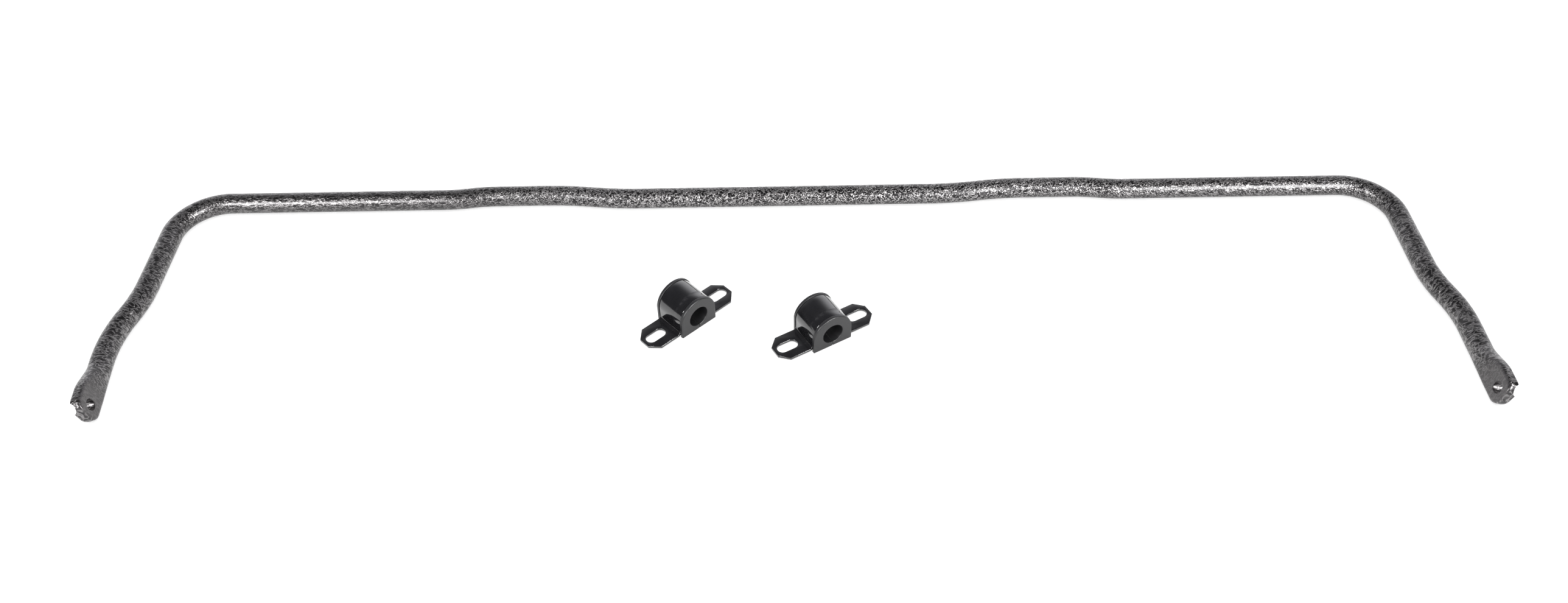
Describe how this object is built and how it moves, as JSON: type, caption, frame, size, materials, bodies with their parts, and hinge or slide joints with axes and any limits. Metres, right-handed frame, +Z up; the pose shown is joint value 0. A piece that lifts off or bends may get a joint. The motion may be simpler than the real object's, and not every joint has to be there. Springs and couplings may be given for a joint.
{
  "type": "sway bar kit",
  "caption": "Bent round anti-roll bar with a drilled, flattened eye on each arm, beside split D bushings in slotted saddle brackets.",
  "frame": {"origin": "on the floor, under the middle of the kit's box", "axes": "+X along the crossbar, +Y from the arms' ends towards the crossbar, +Z up"},
  "size_m": [1.177, 0.2822, 0.0331],
  "materials": {
    "hammered_coat": "grey hammered powder coat",
    "urethane": "satin dark grey polyurethane",
    "black_enamel": "gloss black enamel"
  },
  "bodies": {
    "chassis_mounts": {"left_bushing": "urethane", "right_bushing": "urethane"},
    "bar": {"sway_bar": "hammered_coat"},
    "left_saddle": {"left_bracket": "black_enamel"},
    "right_saddle": {"right_bracket": "black_enamel"}
  },
  "joints": [
    {"name": "bar_turn", "type": "hinge", "parent": "chassis_mounts", "child": "bar", "pos_m": [-0.00095, 0.12759, 0.00953], "axis": [-1, 0, 0], "range_deg": [0, 40]},
    {"name": "left_bracket_lift", "type": "slide", "parent": "chassis_mounts", "child": "left_saddle", "axis": [0, 0, 1], "range_m": [0, 0.055]},
    {"name": "right_bracket_lift", "type": "slide", "parent": "chassis_mounts", "child": "right_saddle", "axis": [0, 0, 1], "range_m": [0, 0.055]}
  ]
}
